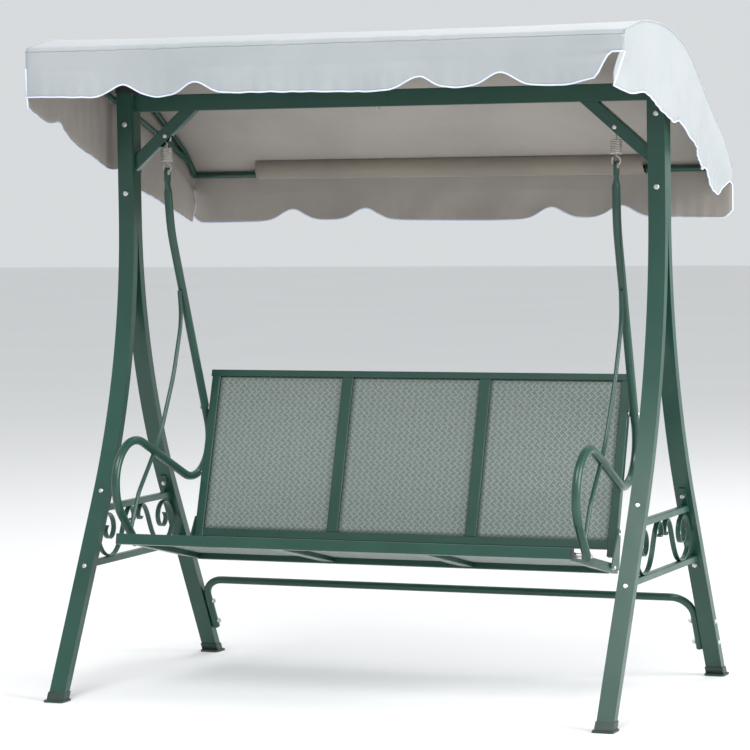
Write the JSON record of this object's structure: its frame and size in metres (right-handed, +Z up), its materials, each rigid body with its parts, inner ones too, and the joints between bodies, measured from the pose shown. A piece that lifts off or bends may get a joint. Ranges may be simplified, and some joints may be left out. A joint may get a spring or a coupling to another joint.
{
  "type": "canopy swing seat",
  "caption": "Canopy garden swing: bench seat and back in mesh, hung on springs from a beam between two splayed leg frames.",
  "frame": {"origin": "on the ground, centred between the four feet, under the top beam", "axes": "+X along the top beam to the right as seen from the front, -Y to the front where the sitter faces, +Z up"},
  "size_m": [1.724, 1.0612, 1.8361],
  "materials": {
    "green_paint": "gloss powder coat over steel tube",
    "zinc": "bright zinc plate",
    "bare_steel": "plated spring wire, dulled",
    "black_plastic": "fine-grained moulded plastic",
    "foot_plastic": "fine-grained moulded plastic",
    "nylon": "natural nylon",
    "mesh": "woven plastic-coated mesh, grey-green with a pale herringbone",
    "canopy_cloth": "pale silver-grey coated polyester, warm grey inside"
  },
  "bodies": {
    "frame": {"beam_bolts": "zinc", "beam_brace_left": "green_paint", "beam_brace_right": "green_paint", "beam_end_plates": "green_paint", "canopy_pivot_bolts": "zinc", "foot_caps": "foot_plastic", "front_leg_left": "green_paint", "front_leg_right": "green_paint", "leg_bolts": "zinc", "leg_top_caps": "black_plastic", "rear_leg_left": "green_paint", "rear_leg_right": "green_paint", "rear_stretcher": "green_paint", "scrolls_left": "green_paint", "scrolls_right": "green_paint", "side_bar_bolts": "zinc", "side_bar_lower_left": "green_paint", "side_bar_lower_right": "green_paint", "side_bar_upper_left": "green_paint", "side_bar_upper_right": "green_paint", "stretcher_bolts": "zinc", "top_beam_left": "green_paint", "top_beam_right": "green_paint"},
    "springs": {"spring_left": "bare_steel", "spring_right": "bare_steel"},
    "hanger_bushes": {"hanger_bushes": "nylon"},
    "seat": {"back_bottom_rail": "green_paint", "back_brackets": "green_paint", "back_divider_left": "green_paint", "back_divider_right": "green_paint", "back_side_rail_left": "green_paint", "back_side_rail_right": "green_paint", "back_sling_left": "mesh", "back_sling_middle": "mesh", "back_sling_right": "mesh", "back_top_rail": "green_paint", "end_plugs": "black_plastic", "hanger_arm_left": "green_paint", "hanger_arm_right": "green_paint", "hanger_brace_left": "green_paint", "hanger_brace_right": "green_paint", "seat_bolts": "zinc", "seat_divider_left": "green_paint", "seat_divider_right": "green_paint", "seat_front_rail": "green_paint", "seat_rear_rail": "green_paint", "seat_side_rail_left": "green_paint", "seat_side_rail_right": "green_paint", "seat_sling_left": "mesh", "seat_sling_middle": "mesh", "seat_sling_right": "mesh"},
    "canopy": {"canopy_arch_left": "green_paint", "canopy_arch_right": "green_paint", "canopy_corner_bolts": "zinc", "canopy_fabric": "canopy_cloth", "canopy_front_bar": "green_paint", "canopy_rear_bar": "green_paint", "canopy_support_left": "green_paint", "canopy_support_right": "green_paint"}
  },
  "joints": [
    {"name": "swing", "type": "hinge", "parent": "frame", "child": "springs", "pos_m": [0, 0, 1.57265], "axis": [1, 0, 0], "range_deg": [-20, 20]},
    {"name": "spring_stretch", "type": "slide", "parent": "springs", "child": "hanger_bushes", "axis": [0, 0, -1], "range_m": [0, 0.025], "stiffness_N_per_m": 70000, "springref_m": -0.004, "deforming": ["spring_left", "spring_right"]},
    {"name": "seat_tilt", "type": "hinge", "parent": "hanger_bushes", "child": "seat", "pos_m": [0, 0, 1.4613], "axis": [1, 0, 0], "range_deg": [-12, 12]},
    {"name": "canopy_tilt", "type": "hinge", "parent": "frame", "child": "canopy", "pos_m": [0, -0.013, 1.672], "axis": [1, 0, 0], "range_deg": [-8, 32]}
  ]
}
